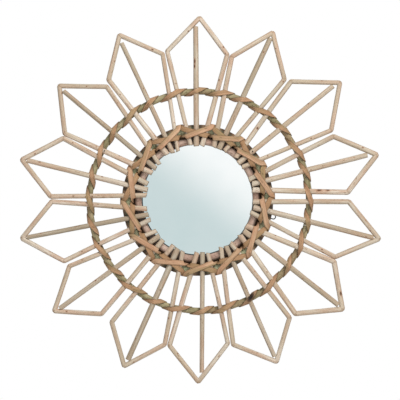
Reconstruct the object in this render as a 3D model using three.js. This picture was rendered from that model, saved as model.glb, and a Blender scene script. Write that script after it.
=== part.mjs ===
// Willow flower wall mirror: a round glass in a bent-wood ring, fourteen kite-shaped petals of kinked rod
// with a straight spoke in each, two bark-covered hoops behind the rods, and strips of bark that lash rods
// and hoops. Millimetres, +Z up, the glass faces -Y. The origin is the middle of the board's rear face, which
// meets the wall. Angles run clockwise from the top as the viewer sees them, and depth is the distance out
// from the wall.

import * as THREE from "three";

// Glass and the board behind it
const BOARD_RADIUS = 112;
const BOARD_THICKNESS = 3;
const GLASS_RADIUS = 96;
const GLASS_THICKNESS = 3;
const GAP = 0.3;

// Bent-wood ring in front of the rim of the glass
const RING_INNER = 90.8;
const RING_OUTER = 103.2;
const RING_THICKNESS = 9.6;
const RING_SHIFT = -0.5;

// Bark-covered hoops behind the rods, which rest on a bed level with the front of the ring
const ROD_BED = BOARD_THICKNESS + GLASS_THICKNESS + RING_THICKNESS + 3 * GAP;
const HUB_HOOP = { x: 0, z: -0.5, radius: 115.9, halfWidth: 8.3, halfThickness: 4.9 };
const OUTER_HOOP = { x: 2.9, z: -2.1, radius: 179.7, halfWidth: 5.6, halfThickness: 4.6 };

// The outer hoop is three lengths of rod that butt where the strip hides the joint, counted in half petals. A
// squareness over 2 flattens their section where they are pressed between the rods and the wall.
const OUTER_JOINTS = [-1, 8, 17, 27];
const OUTER_SQUARENESS = 2.8;

// The flower of rods sits a little off the middle of the glass
const FLOWER_X = 3.2;
const FLOWER_Z = 1.1;
const PETAL_COUNT = 14;
const PETAL_ROD_RADIUS = 3.75;
const SPOKE_BUTT_RADIUS = 4.4;
const SPOKE_TIP_RADIUS = 4;
const TRIO_REACH = 88;
const TRIO_HALF_WIDTH = 9.2;
const SIDE_BOW = 0.1;
const SIDE_BOW_AT = 0.6;
const SHOULDER_ROUND = 1.6;
const TIP_ROUND = 2.8;
const SPOKE_TIP_GAP = 0.5;

// Hand-bent petals differ. Turns are in degrees from even spacing, reaches from the flower's middle:
// [tip turn, tip reach, left shoulder turn and reach, right shoulder turn and reach, trio turn, spoke turn]
const PETALS = [
  [0, 296.5, -12.3, 247.6, 10.9, 240.5, -3.4, -1.2],
  [-2, 297.7, -12.9, 238.9, 9.6, 240.1, -4.5, -2],
  [-1.1, 298.1, -13.6, 243.7, 10.9, 242.9, -4.4, -1.7],
  [-1.2, 298.5, -12.2, 241.7, 10.2, 242.5, -3.2, -1.9],
  [-0.4, 300.5, -11.9, 244.1, 10.2, 240.9, -4.2, -0.3],
  [-1, 294.8, -13.6, 242.5, 11.5, 244.1, -3.1, -1.2],
  [0.4, 294.2, -11.5, 243.3, 12.7, 244.1, -3.7, 0.3],
  [0.4, 298.9, -11.1, 240.1, 11.6, 244.1, -3, -0.7],
  [-1.4, 299.7, -12.2, 244.1, 9.8, 246.9, -1.8, -1.7],
  [1, 299.7, -10.9, 246.9, 11.4, 239.3, -3.8, 0.6],
  [0.4, 297.3, -11.7, 243.3, 12, 241.7, -3.6, 0.4],
  [-0.3, 297.7, -11.8, 243.7, 11.2, 244.1, -2.7, -0.1],
  [0.4, 294.9, -12.6, 244.9, 11.9, 238.5, -3.4, 0],
  [-0.3, 298.5, -11.6, 245.3, 11.5, 244.9, -4.2, -0.8],
];

// Bark strips
const STRIP_WIDTH = 6.4;
const STRIP_THICKNESS = 1;
const STRIP_CLEARANCE = 0.45;
const STRIP_FOOT = 0.35;
const LIP_TILT = 0.4;
const OVER_TILT = 0.12;
const BACK_INSET = 0.4;
const BACK_RUN = 0.25;
const LAYER_STEP = 2;
const OUTER_SLACK = 1.2;
const HUB_LIP_DROPS = [9, 5];
const HUB_OVER_ROD = 4.2;
const HUB_PULL = 2.4;
const HUB_INNER_SHIFT = 2;
const PAIR_RISE = { run: 3.6, lipDrop: 8, overRod: 3.6 };
const SPOKE_RISE = { run: 6, lipDrop: 9, overRod: 3.3 };

// Wire hanging eye on the back of the hub hoop
const EYE_ANGLE = 102.6;
const EYE_INNER_REACH = 109;
const EYE_OUTER_REACH = 128.4;
const EYE_HALF_WIDTH = 3.8;
const EYE_NECK = 0.7;
const EYE_BEND_STEPS = 8;
const WIRE_RADIUS = 0.75;

// Facets
const DISC_SEGMENTS = 56;
const ROD_SIDES = 8;
const WIRE_SIDES = 6;
const HUB_FACETS = { sides: 8, segments: 48 };
const OUTER_FACETS = { sides: 12, segments: 20 };
const ARC_END = 0.002; // a short first and last segment keeps the cut ends square to the circle

const mirror = new THREE.Group();
mirror.name = "willow_flower_mirror";

const GLASS_LOOK = new THREE.MeshStandardMaterial({ color: 0xdfe8ea, roughness: 0.05, metalness: 1.0 });
const BOARD_LOOK = new THREE.MeshStandardMaterial({ color: 0x8a6a4c, roughness: 0.85, metalness: 0.0 });
const RING_LOOK = new THREE.MeshStandardMaterial({ color: 0xa88e7b, roughness: 0.7, metalness: 0.0 });
const BARK_LOOK = new THREE.MeshStandardMaterial({ color: 0x84816a, roughness: 0.7, metalness: 0.0 });
const ROD_LOOK = new THREE.MeshStandardMaterial({ color: 0xd6c2aa, roughness: 0.6, metalness: 0.0 });
const STRIP_LOOK = new THREE.MeshStandardMaterial({ color: 0xc39a7d, roughness: 0.65, metalness: 0.0 });
const WIRE_LOOK = new THREE.MeshStandardMaterial({ color: 0x3c3a38, roughness: 0.45, metalness: 1.0 });

function addMesh(parent, name, geometry, look) {
  const mesh = new THREE.Mesh(geometry, look.clone());
  mesh.name = name;
  parent.add(mesh);
  return mesh;
}

const radians = THREE.MathUtils.degToRad;
const degrees = THREE.MathUtils.radToDeg;
const numbered = (index) => String(index + 1).padStart(2, "0");

// A path of given stations, each with the direction that its section faces
class StationPath extends THREE.Curve {
  constructor(points, facings) {
    super();
    this.points = points;
    this.facings = facings;
  }

  getPoint(t) {
    return this.points[Math.round(t * (this.points.length - 1))].clone();
  }

  getSpacedPoints() {
    return this.points.map((point) => point.clone());
  }

  computeFrenetFrames() {
    const last = this.points.length - 1;
    const tangents = this.points.map((point, i) => {
      const before = this.points[Math.max(i - 1, 0)];
      const after = this.points[Math.min(i + 1, last)];
      const arriving = point.clone().sub(before).normalize();
      const leaving = after.clone().sub(point).normalize();
      return arriving.add(leaving).normalize();
    });
    const normals = this.facings.map((facing, i) => {
      const along = tangents[i].clone().multiplyScalar(facing.dot(tangents[i]));
      return facing.clone().sub(along).normalize();
    });
    const binormals = normals.map((normal, i) => tangents[i].clone().cross(normal));
    return { tangents, normals, binormals };
  }
}

function sweep(section, points, facings) {
  const extrudePath = new StationPath(points, facings);
  return new THREE.ExtrudeGeometry(section, { steps: points.length - 1, extrudePath, bevelEnabled: false });
}

// The same sweep made as a mirror image and turned back: where a strip twists the other way, its broad faces
// then bulge apart instead of folding through each other
function mirroredSweep(section, points, facings) {
  const flip = (vector) => new THREE.Vector3(-vector.x, vector.y, vector.z);
  const geometry = sweep(section, points.map(flip), facings.map(flip));
  const places = geometry.getAttribute("position");
  const corner = (i) => flip(new THREE.Vector3().fromBufferAttribute(places, i));
  for (let i = 0; i < places.count; i += 3) {
    const [first, second, third] = [corner(i), corner(i + 2), corner(i + 1)];
    [first, second, third].forEach(({ x, y, z }, k) => places.setXYZ(i + k, x, y, z));
  }
  geometry.computeVertexNormals();
  return geometry;
}

function roundSection(radius, sides) {
  const corners = [];
  for (let i = 0; i < sides; i += 1) {
    const turn = (2 * Math.PI * (i + 0.5)) / sides;
    corners.push(new THREE.Vector2(radius * Math.cos(turn), radius * Math.sin(turn)));
  }
  return new THREE.Shape(corners);
}

function flattenedSection(hoop, squareness, sides) {
  const squared = (share) => Math.sign(share) * Math.abs(share) ** (2 / squareness);
  const corners = [];
  for (let i = 0; i < sides; i += 1) {
    const turn = (2 * Math.PI * (i + 0.5)) / sides;
    const [along, across] = [squared(Math.cos(turn)), squared(Math.sin(turn))];
    corners.push(new THREE.Vector2(along * hoop.halfThickness, across * hoop.halfWidth));
  }
  return new THREE.Shape(corners);
}

function stripSection(thickness, width) {
  const corners = [
    new THREE.Vector2(-thickness / 2, -width / 2),
    new THREE.Vector2(thickness / 2, -width / 2),
    new THREE.Vector2(thickness / 2, width / 2),
    new THREE.Vector2(-thickness / 2, width / 2),
  ];
  return new THREE.Shape(corners);
}

// Board and glass
const boardDisc = new THREE.CylinderGeometry(BOARD_RADIUS, BOARD_RADIUS, BOARD_THICKNESS, DISC_SEGMENTS);
const board = addMesh(mirror, "back_board", boardDisc, BOARD_LOOK);
board.position.y = -BOARD_THICKNESS / 2;
const glassDisc = new THREE.CylinderGeometry(GLASS_RADIUS, GLASS_RADIUS, GLASS_THICKNESS, DISC_SEGMENTS);
const glass = addMesh(mirror, "mirror_glass", glassDisc, GLASS_LOOK);
glass.position.y = -(BOARD_THICKNESS + GAP + GLASS_THICKNESS / 2);

// Ring and hub hoop: oval sections bent into circles
function hoopMesh(name, hoop, facets, look) {
  const geometry = new THREE.TorusGeometry(hoop.radius, hoop.halfWidth, facets.sides, facets.segments);
  geometry.scale(1, 1, hoop.halfThickness / hoop.halfWidth);
  geometry.rotateX(Math.PI / 2);
  const mesh = addMesh(mirror, name, geometry, look);
  mesh.position.set(hoop.x, -hoop.depth, hoop.z);
}

const RING = {
  x: RING_SHIFT,
  z: 0,
  radius: (RING_INNER + RING_OUTER) / 2,
  halfWidth: (RING_OUTER - RING_INNER) / 2,
  halfThickness: RING_THICKNESS / 2,
};
for (const hoop of [RING, HUB_HOOP, OUTER_HOOP]) {
  hoop.depth = ROD_BED - GAP - hoop.halfThickness;
}
hoopMesh("glass_ring", RING, HUB_FACETS, RING_LOOK);
hoopMesh("hub_hoop", HUB_HOOP, HUB_FACETS, BARK_LOOK);

// Outer hoop: arcs of a flattened section
const FRONT = new THREE.Vector3(0, -1, 0);

function arcGeometry(hoop, section, fromDegrees, toDegrees, segments) {
  const shares = [0, ARC_END, 1 - ARC_END, 1];
  for (let i = 1; i < segments; i += 1) {
    shares.push(i / segments);
  }
  shares.sort((first, second) => first - second);
  const points = shares.map((share) => {
    const turn = radians(fromDegrees + (toDegrees - fromDegrees) * share);
    const [x, z] = [hoop.x + hoop.radius * Math.sin(turn), hoop.z + hoop.radius * Math.cos(turn)];
    return new THREE.Vector3(x, -hoop.depth, z);
  });
  return sweep(section, points, points.map(() => FRONT.clone()));
}

const halfPetal = 180 / PETAL_COUNT;
const outerSection = flattenedSection(OUTER_HOOP, OUTER_SQUARENESS, OUTER_FACETS.sides);
const jointGap = degrees(GAP / 2 / OUTER_HOOP.radius);
for (let arc = 0; arc < OUTER_JOINTS.length - 1; arc += 1) {
  const from = OUTER_JOINTS[arc] * halfPetal + jointGap;
  const to = OUTER_JOINTS[arc + 1] * halfPetal - jointGap;
  const geometry = arcGeometry(OUTER_HOOP, outerSection, from, to, OUTER_FACETS.segments);
  addMesh(mirror, `outer_hoop_${numbered(arc)}`, geometry, BARK_LOOK);
}

// Petal rods and spokes. Inside a petal, x is across it and z runs out along its middle.
const PETAL_ROD_DEPTH = ROD_BED + PETAL_ROD_RADIUS;
const SPOKE_DEPTH = ROD_BED + SPOKE_BUTT_RADIUS;

function spot(turn, reach) {
  const angle = radians(turn);
  return new THREE.Vector2(reach * Math.sin(angle), reach * Math.cos(angle));
}

function petalSide(side, trio, outer) {
  const inner = new THREE.Vector2(trio.x + side * TRIO_HALF_WIDTH, trio.y);
  const middle = inner.clone().lerp(outer, SIDE_BOW_AT);
  middle.x += side * SIDE_BOW;
  return { inner, middle, outer };
}

// A spoke's end is cut to fit between the two lengths of rod that meet at the tip. The function it gives
// tells how far the spoke runs at a distance across from its middle.
function spokeCut(foot, run, tip, sides) {
  const across = new THREE.Vector2(run.y, -run.x);
  const limits = sides.map(({ outer }) => {
    const arm = outer.clone().sub(tip).normalize();
    const inward = Math.sign(arm.cross(foot.clone().sub(tip)));
    const start = inward * arm.cross(foot.clone().sub(tip)) - PETAL_ROD_RADIUS - SPOKE_TIP_GAP;
    return { start, slope: inward * arm.cross(across), closing: -inward * arm.cross(run) };
  });
  return (offset) => Math.min(...limits.map(({ start, slope, closing }) => (start + slope * offset) / closing));
}

function petalLayout(index) {
  const [tipTurn, tipReach, leftTurn, leftReach, rightTurn, rightReach, trioTurn, spokeTurn] = PETALS[index];
  const spokeFoot = new THREE.Vector2(TRIO_REACH * Math.tan(radians(trioTurn)), TRIO_REACH);
  const tip = spot(tipTurn, tipReach);
  const sides = [
    petalSide(-1, spokeFoot, spot(leftTurn, leftReach)),
    petalSide(1, spokeFoot, spot(rightTurn, rightReach)),
  ];
  const spokeRun = spot(spokeTurn, tipReach).sub(spokeFoot).normalize();
  const spokeLength = spokeCut(spokeFoot, spokeRun, tip, sides);
  const spokeTip = spokeFoot.clone().addScaledVector(spokeRun, spokeLength(0));
  return { angle: radians((360 * index) / PETAL_COUNT), sides, tip, spokeFoot, spokeRun, spokeLength, spokeTip };
}

// Two stations either side of a kink, so the rod turns in a short bend
function kink(before, corner, after, round) {
  const arriving = corner.clone().sub(before).setLength(round);
  const leaving = after.clone().sub(corner).setLength(round);
  return [corner.clone().sub(arriving), corner.clone().add(leaving)];
}

function petalPath(layout) {
  const [left, right] = layout.sides;
  return [
    left.inner,
    left.middle,
    ...kink(left.middle, left.outer, layout.tip, SHOULDER_ROUND),
    ...kink(left.outer, layout.tip, right.outer, TIP_ROUND),
    ...kink(layout.tip, right.outer, right.middle, SHOULDER_ROUND),
    right.middle,
    right.inner,
  ];
}

const layouts = PETALS.map((row, index) => petalLayout(index));

layouts.forEach((layout, index) => {
  const number = numbered(index);
  const petal = new THREE.Group();
  petal.position.set(FLOWER_X, 0, FLOWER_Z);
  petal.rotation.y = layout.angle;
  mirror.add(petal);

  const points = petalPath(layout).map((flat) => new THREE.Vector3(flat.x, -PETAL_ROD_DEPTH, flat.y));
  const rod = sweep(roundSection(PETAL_ROD_RADIUS, ROD_SIDES), points, points.map(() => FRONT.clone()));
  addMesh(petal, `petal_${number}`, rod, ROD_LOOK);

  const length = layout.spokeLength(0);
  const profile = [
    new THREE.Vector2(0, 0),
    new THREE.Vector2(SPOKE_BUTT_RADIUS, 0),
    new THREE.Vector2(SPOKE_TIP_RADIUS, length),
    new THREE.Vector2(0, length),
  ];
  const spokeGeometry = new THREE.LatheGeometry(profile, ROD_SIDES);
  spokeGeometry.rotateX(Math.PI / 2);
  const corners = spokeGeometry.getAttribute("position");
  for (let i = 0; i < corners.count; i += 1) {
    if (corners.getZ(i) > length / 2) corners.setZ(i, layout.spokeLength(corners.getX(i)));
  }
  const spoke = addMesh(petal, `spoke_${number}`, spokeGeometry, ROD_LOOK);
  spoke.position.set(layout.spokeFoot.x, -SPOKE_DEPTH, layout.spokeFoot.y);
  spoke.rotation.y = Math.atan2(layout.spokeRun.x, layout.spokeRun.y);
});

// Where a rod crosses a circle about a hoop's middle, as a clockwise angle in degrees
function toMirror(layout, flat) {
  const turned = flat.clone().rotateAround(new THREE.Vector2(0, 0), -layout.angle);
  return turned.add(new THREE.Vector2(FLOWER_X, FLOWER_Z));
}

function crossing(layout, flatPoints, hoop, radius) {
  const points = flatPoints.map((flat) => toMirror(layout, flat).sub(new THREE.Vector2(hoop.x, hoop.z)));
  const next = Math.max(1, points.findIndex((point) => point.length() > radius));
  const start = points[next - 1];
  const run = points[next].clone().sub(start);
  const half = start.dot(run) / run.lengthSq();
  const rest = (start.lengthSq() - radius * radius) / run.lengthSq();
  const hit = start.clone().addScaledVector(run, -half + Math.sqrt(half * half - rest));
  return degrees(Math.atan2(hit.x, hit.y));
}

function sideCrossing(index, side, hoop, radius) {
  const layout = layouts[(index + PETAL_COUNT) % PETAL_COUNT];
  const { inner, middle, outer } = layout.sides[side < 0 ? 0 : 1];
  return crossing(layout, [inner, middle, outer], hoop, radius);
}

function spokeCrossing(index, hoop, radius) {
  const layout = layouts[(index + PETAL_COUNT) % PETAL_COUNT];
  return crossing(layout, [layout.spokeFoot, layout.spokeTip], hoop, radius);
}

// One pass of a strip: up one edge of the hoop, across the rods in front, down the other edge
function passStations(hoop, wrap, edge, pass) {
  const near = hoop.radius + edge * wrap.halfWidth;
  const far = hoop.radius - edge * wrap.halfWidth;
  const foot = hoop.depth - hoop.halfThickness * STRIP_FOOT;
  const lip = pass.front - pass.lipDrop;
  const chordAt = (angle) => {
    const [before, after, whole] = [angle - pass.from, pass.to - angle, pass.to - pass.from].map(radians);
    return (near * far * Math.sin(whole)) / (near * Math.sin(before) + far * Math.sin(after));
  };
  const [pullFrom, pullTo] = edge > 0 ? [pass.pull, 0] : [0, pass.pull];
  const stations = [];
  const add = (angle, radius, depth, outward, forward) => {
    stations.push({ angle, radius, depth, outward, forward });
  };
  add(pass.from, near, foot, edge, 0);
  add(pass.from, near, lip, edge, LIP_TILT);
  add(pass.overFrom, chordAt(pass.overFrom) - pullFrom, pass.front, edge * OVER_TILT, 1);
  add(pass.overTo, chordAt(pass.overTo) - pullTo, pass.front, -edge * OVER_TILT, 1);
  add(pass.to, far, lip, -edge, LIP_TILT);
  add(pass.to, far, foot, -edge, 0);
  return stations;
}

// Behind the hoop, from the end of one pass to the start of the next
function backStations(hoop, wrap, before, after) {
  const depth = hoop.depth - wrap.halfThickness;
  const inset = (station) => THREE.MathUtils.lerp(station.radius, hoop.radius, BACK_INSET);
  const step = (after.angle - before.angle) * BACK_RUN;
  return [
    { angle: before.angle + step, radius: inset(before), depth, outward: 0, forward: -1 },
    { angle: after.angle - step, radius: inset(after), depth, outward: 0, forward: -1 },
  ];
}

function stripGeometry(hoop, wrap, edge, passes) {
  const stations = [];
  passes.forEach((pass, i) => {
    if (i > 0) {
      const before = stations[stations.length - 1];
      stations.push(...backStations(hoop, wrap, before, pass[0]));
    }
    stations.push(...pass);
  });
  const points = [];
  const facings = [];
  stations.forEach(({ angle, radius, depth, outward, forward }) => {
    const sine = Math.sin(radians(angle));
    const cosine = Math.cos(radians(angle));
    points.push(new THREE.Vector3(hoop.x + radius * sine, -depth, hoop.z + radius * cosine));
    facings.push(new THREE.Vector3(outward * sine, -forward, outward * cosine).normalize());
  });
  const sweepStrip = edge < 0 ? mirroredSweep : sweep;
  return sweepStrip(stripSection(STRIP_THICKNESS, STRIP_WIDTH), points, facings);
}

function wrapAround(hoop, slack) {
  const grow = GAP + STRIP_THICKNESS / 2 + slack;
  return { halfWidth: hoop.halfWidth + grow, halfThickness: hoop.halfThickness + grow };
}

// The angle's turn that lies within half a turn of another angle, so that a strip winds on steadily
function unwind(angle, nearTo) {
  return angle + 360 * Math.round((nearTo - angle) / 360);
}

// A pass over one rod or a row of rods: it leaves the hoop beside them and rises to full height above them
function rodPass(first, last, rodRadius, rise, near, far, front, nearTo) {
  const beside = rodRadius + STRIP_CLEARANCE + STRIP_WIDTH / 2 + rise.run;
  const from = unwind(first(near) - degrees(beside / near), nearTo);
  const to = unwind(last(far) + degrees(beside / far), from);
  const overFrom = unwind(first(near) - degrees(rise.overRod / near), from);
  const overTo = unwind(last(far) + degrees(rise.overRod / far), overFrom);
  return { from, overFrom, overTo, to, front, lipDrop: rise.lipDrop, pull: 0 };
}

const SPOKE_FRONT = SPOKE_DEPTH + SPOKE_BUTT_RADIUS;
const PETAL_ROD_FRONT = PETAL_ROD_DEPTH + PETAL_ROD_RADIUS;
const STRIP_RISE = STRIP_CLEARANCE + STRIP_THICKNESS / 2;

// A pass over a trio of rods, from the gap before it to the gap after it. On the hoop's inner side it keeps
// nearer to the trio, so that the other strip has room there.
function trioPass(index, near, far, front, lipDrop) {
  const rodAt = (step, side, radius) => {
    const middle = (360 * (index + step)) / PETAL_COUNT;
    return unwind(sideCrossing(index + step, side, HUB_HOOP, radius), middle);
  };
  const inward = (radius) => (radius < HUB_HOOP.radius ? degrees(HUB_INNER_SHIFT / radius) : 0);
  const from = (rodAt(-1, 1, near) + rodAt(0, -1, near)) / 2 + inward(near);
  const overFrom = rodAt(0, -1, near) - degrees(HUB_OVER_ROD / near);
  const overTo = rodAt(0, 1, far) + degrees(HUB_OVER_ROD / far);
  const to = (rodAt(0, 1, far) + rodAt(1, -1, far)) / 2 - inward(far);
  return { from, overFrom, overTo, to, front, lipDrop, pull: HUB_PULL };
}

// The two hub strips cross over every trio of rods, one running out and the other running in
function hubStrip(edge, layer) {
  const wrap = wrapAround(HUB_HOOP, layer * LAYER_STEP);
  const near = HUB_HOOP.radius + edge * wrap.halfWidth;
  const far = HUB_HOOP.radius - edge * wrap.halfWidth;
  const front = SPOKE_FRONT + STRIP_RISE + layer * LAYER_STEP;
  const passes = PETALS.map((row, index) => {
    const pass = trioPass(index, near, far, front, HUB_LIP_DROPS[layer]);
    return passStations(HUB_HOOP, wrap, edge, pass);
  });
  return stripGeometry(HUB_HOOP, wrap, edge, passes);
}

addMesh(mirror, "hub_strip_under", hubStrip(1, 0), STRIP_LOOK);
addMesh(mirror, "hub_strip_over", hubStrip(-1, 1), STRIP_LOOK);

// The outer strip spirals one way: over each pair of neighbouring rods, then over each spoke
function outerStrip() {
  const wrap = wrapAround(OUTER_HOOP, OUTER_SLACK);
  const near = OUTER_HOOP.radius - wrap.halfWidth;
  const far = OUTER_HOOP.radius + wrap.halfWidth;
  const pairFront = PETAL_ROD_FRONT + STRIP_RISE;
  const spokeFront = SPOKE_FRONT + STRIP_RISE;
  const passes = [];
  for (let index = 0; index < PETAL_COUNT; index += 1) {
    const middle = (360 * index) / PETAL_COUNT;
    const leftRod = (radius) => sideCrossing(index - 1, 1, OUTER_HOOP, radius);
    const rightRod = (radius) => sideCrossing(index, -1, OUTER_HOOP, radius);
    const spoke = (radius) => spokeCrossing(index, OUTER_HOOP, radius);
    const pair = rodPass(leftRod, rightRod, PETAL_ROD_RADIUS, PAIR_RISE, near, far, pairFront, middle);
    const single = rodPass(spoke, spoke, SPOKE_BUTT_RADIUS, SPOKE_RISE, near, far, spokeFront, middle);
    passes.push(passStations(OUTER_HOOP, wrap, -1, pair));
    passes.push(passStations(OUTER_HOOP, wrap, -1, single));
  }
  return stripGeometry(OUTER_HOOP, wrap, -1, passes);
}

addMesh(mirror, "outer_strip", outerStrip(), STRIP_LOOK);

// Hanging eye: a hairpin of wire on the back of the hub hoop, its bend reaching past the hoop's edge
const eyeGroup = new THREE.Group();
eyeGroup.rotation.y = radians(EYE_ANGLE);
mirror.add(eyeGroup);
const eyeDepth = HUB_HOOP.depth - HUB_HOOP.halfThickness - GAP - WIRE_RADIUS;
const eyePoint = (across, along) => new THREE.Vector3(across, -eyeDepth, along);
const eyePoints = [eyePoint(-EYE_HALF_WIDTH * EYE_NECK, EYE_INNER_REACH)];
for (let i = 0; i <= EYE_BEND_STEPS; i += 1) {
  const turn = Math.PI * (1 - i / EYE_BEND_STEPS);
  const across = EYE_HALF_WIDTH * Math.cos(turn);
  eyePoints.push(eyePoint(across, EYE_OUTER_REACH + EYE_HALF_WIDTH * Math.sin(turn)));
}
eyePoints.push(eyePoint(EYE_HALF_WIDTH * EYE_NECK, EYE_INNER_REACH));
const eyeWire = sweep(roundSection(WIRE_RADIUS, WIRE_SIDES), eyePoints, eyePoints.map(() => FRONT.clone()));
addMesh(eyeGroup, "hanging_eye", eyeWire, WIRE_LOOK);

export default mirror;
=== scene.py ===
import math
import random
from bisect import bisect_right

import bmesh
import bpy
from mathutils import Matrix, Vector, noise


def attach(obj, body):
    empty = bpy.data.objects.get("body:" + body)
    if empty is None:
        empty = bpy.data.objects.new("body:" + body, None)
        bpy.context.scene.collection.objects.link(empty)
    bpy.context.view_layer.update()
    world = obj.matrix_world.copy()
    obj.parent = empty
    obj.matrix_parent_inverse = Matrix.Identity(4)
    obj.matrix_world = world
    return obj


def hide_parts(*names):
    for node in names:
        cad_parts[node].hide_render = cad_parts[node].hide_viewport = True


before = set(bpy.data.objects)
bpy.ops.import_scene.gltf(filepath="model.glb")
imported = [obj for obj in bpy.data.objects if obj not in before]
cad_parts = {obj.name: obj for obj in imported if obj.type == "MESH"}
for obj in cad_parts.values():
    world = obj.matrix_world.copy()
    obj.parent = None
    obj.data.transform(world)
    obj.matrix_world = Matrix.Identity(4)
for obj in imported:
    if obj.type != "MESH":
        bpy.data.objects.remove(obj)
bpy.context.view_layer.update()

scene = bpy.context.scene
scene.view_settings.view_transform = "Standard"  # keeps the white ground white
front = Vector((0.0, -1.0, 0.0))
print("frame loaded:", len(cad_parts), "solids")


def srgb(red, green, blue):
    parts = [c / 255 for c in (red, green, blue)]
    linear = [c / 12.92 if c < 0.04045 else ((c + 0.055) / 1.055) ** 2.4 for c in parts]
    return (*linear, 1.0)


def addNode(tree, kind, inputs=None, **settings):
    node = tree.nodes.new(kind)
    for key, value in settings.items():
        setattr(node, key, value)
    for key, value in (inputs or {}).items():
        if isinstance(value, bpy.types.NodeSocket):
            tree.links.new(value, node.inputs[key])
        else:
            node.inputs[key].default_value = value
    return node


def mixColour(tree, factor, first, second):
    return addNode(tree, "ShaderNodeMix", {0: factor, 6: first, 7: second}, data_type="RGBA").outputs[2]


def maths(tree, operation, first, second=0.0, third=0.0):
    values = {0: first, 1: second, 2: third}
    return addNode(tree, "ShaderNodeMath", values, operation=operation).outputs[0]


def tint(tree, colour, mask, share, other):
    return mixColour(tree, maths(tree, "MULTIPLY", mask, share), colour, other)


def ramp(tree, value, low, high, outLow=0.0, outHigh=1.0):
    values = {0: value, 1: low, 2: high, 3: outLow, 4: outHigh}
    return addNode(tree, "ShaderNodeMapRange", values, interpolation_type="SMOOTHSTEP").outputs[0]


def stretched(tree, place, scale):
    return addNode(tree, "ShaderNodeVectorMath", {0: place, 1: scale}, operation="MULTIPLY").outputs[0]


def noiseValue(tree, place, scale, detail=3.0, roughness=0.55):
    spot = stretched(tree, place, scale)
    values = {"Vector": spot, "Scale": 1.0, "Detail": detail, "Roughness": roughness}
    return addNode(tree, "ShaderNodeTexNoise", values).outputs[0]


def patches(tree, place, scale, detail, low, high):
    return ramp(tree, noiseValue(tree, place, scale, detail), low, high)


def longScale(tree, across, along):
    return addNode(tree, "ShaderNodeCombineXYZ", {0: across, 1: across, 2: along}).outputs[0]


def newGroup(name, values, results):
    group = bpy.data.node_groups.new(name, "ShaderNodeTree")
    group.interface.new_socket("Place", in_out="INPUT", socket_type="NodeSocketVector")
    for socketName, value in values.items():
        socket = group.interface.new_socket(socketName, in_out="INPUT", socket_type="NodeSocketFloat")
        socket.default_value = value
    for socketName in results:
        group.interface.new_socket(socketName, in_out="OUTPUT", socket_type="NodeSocketFloat")
    entry = group.nodes.new("NodeGroupInput").outputs
    leave = group.nodes.new("NodeGroupOutput").inputs
    return group, entry, leave


def placeGroup(tree, group, inputs):
    return addNode(tree, "ShaderNodeGroup", inputs, node_tree=group).outputs


# fibres run along a piece: the place is where the point was before the piece was bent
fibreGroup, fibreIn, fibreOut = newGroup(
    "fibreStreaks", {"Across": 900.0, "Along": 25.0}, ["Streak", "Height"])
fibreScale = longScale(fibreGroup, fibreIn["Across"], fibreIn["Along"])
fibreBroad = noiseValue(fibreGroup, fibreIn["Place"], fibreScale, 4.0, 0.6)
fibreFineScale = stretched(fibreGroup, fibreScale, (2.7, 2.7, 3.1))
fibreFine = noiseValue(fibreGroup, fibreIn["Place"], fibreFineScale, 2.0, 0.5)
fibreGroup.links.new(ramp(fibreGroup, fibreBroad, 0.32, 0.68), fibreOut["Streak"])
fibreSum = maths(fibreGroup, "MULTIPLY_ADD", fibreFine, 0.5, fibreBroad)
fibreGroup.links.new(fibreSum, fibreOut["Height"])

# small dark marks, longer than they are wide, that thin out and gather
fleckGroup, fleckIn, fleckOut = newGroup(
    "darkFlecks", {"Across": 420.0, "Along": 150.0, "Amount": 0.3}, ["Mask"])
fleckScale = longScale(fleckGroup, fleckIn["Across"], fleckIn["Along"])
fleckNoise = noiseValue(fleckGroup, fleckIn["Place"], fleckScale, 2.0, 0.5)
fleckGather = noiseValue(fleckGroup, fleckIn["Place"], (60.0, 60.0, 22.0), 1.0)
fleckSum = maths(fleckGroup, "MULTIPLY_ADD", fleckGather, 0.35, fleckNoise)
fleckFloor = maths(fleckGroup, "SUBTRACT", 1.0, maths(fleckGroup, "MULTIPLY", fleckIn["Amount"], 0.4))
fleckTop = maths(fleckGroup, "ADD", fleckFloor, 0.08)
fleckGroup.links.new(ramp(fleckGroup, fleckSum, fleckFloor, fleckTop), fleckOut["Mask"])

# patches of bark: broad blotches broken by fine grit
mottleGroup, mottleIn, mottleOut = newGroup(
    "barkMottle", {"Patch": 90.0, "Grit": 900.0}, ["Patches", "Grain"])
mottleLong = maths(mottleGroup, "MULTIPLY", mottleIn["Patch"], 0.45)
mottleScale = longScale(mottleGroup, mottleIn["Patch"], mottleLong)
mottlePatch = noiseValue(mottleGroup, mottleIn["Place"], mottleScale, 4.0, 0.62)
mottleGritLong = maths(mottleGroup, "MULTIPLY", mottleIn["Grit"], 0.22)
mottleGritScale = longScale(mottleGroup, mottleIn["Grit"], mottleGritLong)
mottleGrit = noiseValue(mottleGroup, mottleIn["Place"], mottleGritScale, 3.0, 0.6)
mottleGroup.links.new(ramp(mottleGroup, mottlePatch, 0.35, 0.66), mottleOut["Patches"])
mottleGroup.links.new(mottleGrit, mottleOut["Grain"])


def newMaterial(name, specular=0.5):
    material = bpy.data.materials.new(name)
    material.use_nodes = True
    tree = material.node_tree
    shader = tree.nodes["Principled BSDF"]
    shader.inputs["Specular IOR Level"].default_value = specular
    return material, tree, shader


def attributeOf(tree, name, output="Vector"):
    return addNode(tree, "ShaderNodeAttribute", attribute_name=name).outputs[output]


def objectPlace(tree):
    return addNode(tree, "ShaderNodeTexCoord").outputs["Object"]


def joinLooks(tree, shader, colour, roughness):
    tree.links.new(colour, shader.inputs["Base Color"])
    tree.links.new(roughness, shader.inputs["Roughness"])


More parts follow.
